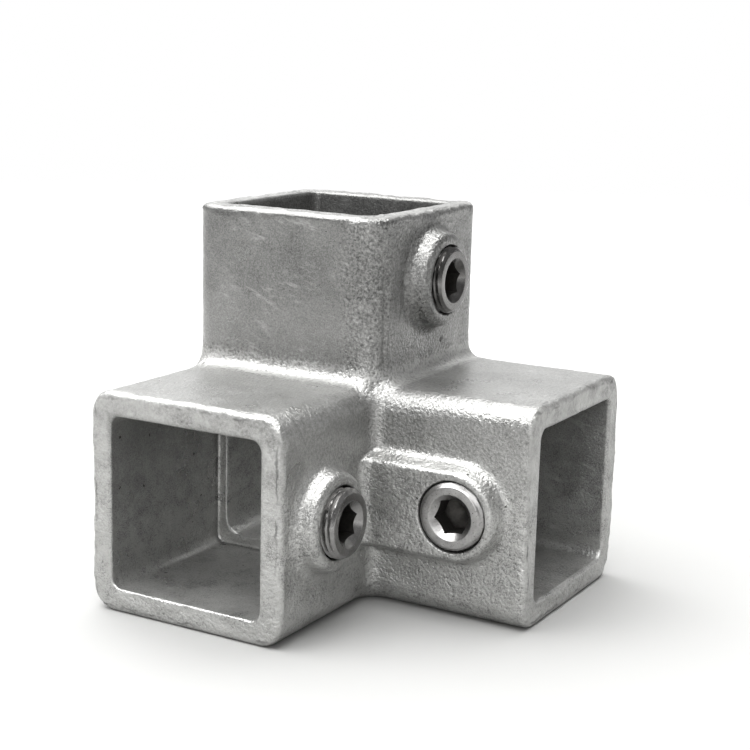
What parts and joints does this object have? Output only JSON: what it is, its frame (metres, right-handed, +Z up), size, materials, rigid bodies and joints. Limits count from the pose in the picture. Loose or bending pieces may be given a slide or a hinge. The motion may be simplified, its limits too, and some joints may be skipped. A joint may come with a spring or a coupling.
{
  "type": "square tube corner connector",
  "caption": "Cast corner fitting with square sockets at right angles to each other, each with a set screw in a raised boss that clamps the tube pushed into it.",
  "frame": {"origin": "on the flat underside of the casting, directly below the axis of the upright arm", "axes": "+Z up along the upright arm, +X along the right arm, -Y along the left arm, which comes towards the camera"},
  "size_m": [0.0955, 0.0945, 0.0945],
  "materials": {
    "galvanised_casting": "hot-dip galvanised, matt silver-grey with a fine sand-cast grain",
    "steel_screw": "turned and zinc-plated, satin"
  },
  "bodies": {
    "root": {"corner_casting": "galvanised_casting", "upright_set_screw": "steel_screw", "left_set_screw": "steel_screw", "right_set_screw": "steel_screw"}
  },
  "joints": []
}
